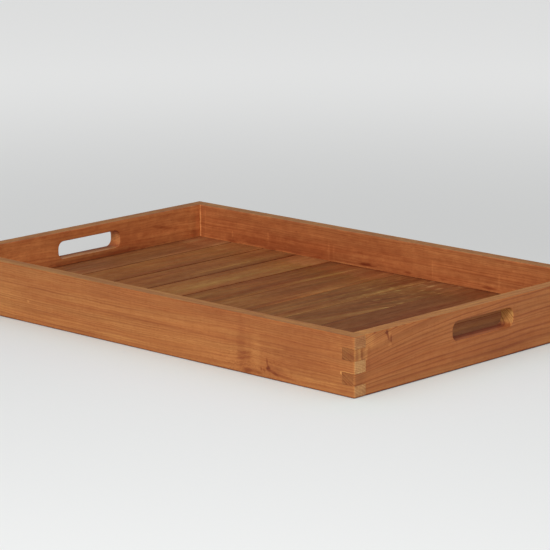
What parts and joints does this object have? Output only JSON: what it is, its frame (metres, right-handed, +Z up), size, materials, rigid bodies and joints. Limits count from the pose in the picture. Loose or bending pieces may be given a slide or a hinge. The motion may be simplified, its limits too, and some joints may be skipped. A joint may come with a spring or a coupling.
{
  "type": "serving tray",
  "caption": "Rectangular solid wood serving tray: upright finger-jointed sides, an oblong hand slot through each short side, and a floor of tongued and grooved slats.",
  "frame": {"origin": "middle of the footprint, on the surface that the tray stands on", "axes": "+X along the tray, from the left hand slot to the right one; +Y from the front rail to the back rail; +Z up"},
  "size_m": [0.74, 0.48, 0.075],
  "materials": {
    "long_rail_wood": "oiled hardwood, satin, straight grain along the board",
    "handle_rail_wood": "oiled hardwood, satin, redder, grain along the board",
    "floor_wood": "oiled hardwood, satin, dark, each slat with its own figure"
  },
  "bodies": {
    "root": {"front_rail": "long_rail_wood", "back_rail": "long_rail_wood", "left_handle_rail": "handle_rail_wood", "right_handle_rail": "handle_rail_wood", "floor_slat_01": "floor_wood", "floor_slat_02": "floor_wood", "floor_slat_03": "floor_wood", "floor_slat_04": "floor_wood", "floor_slat_05": "floor_wood", "floor_slat_06": "floor_wood", "floor_slat_07": "floor_wood", "floor_slat_08": "floor_wood", "floor_slat_09": "floor_wood", "floor_slat_10": "floor_wood", "floor_slat_11": "floor_wood"}
  },
  "joints": []
}
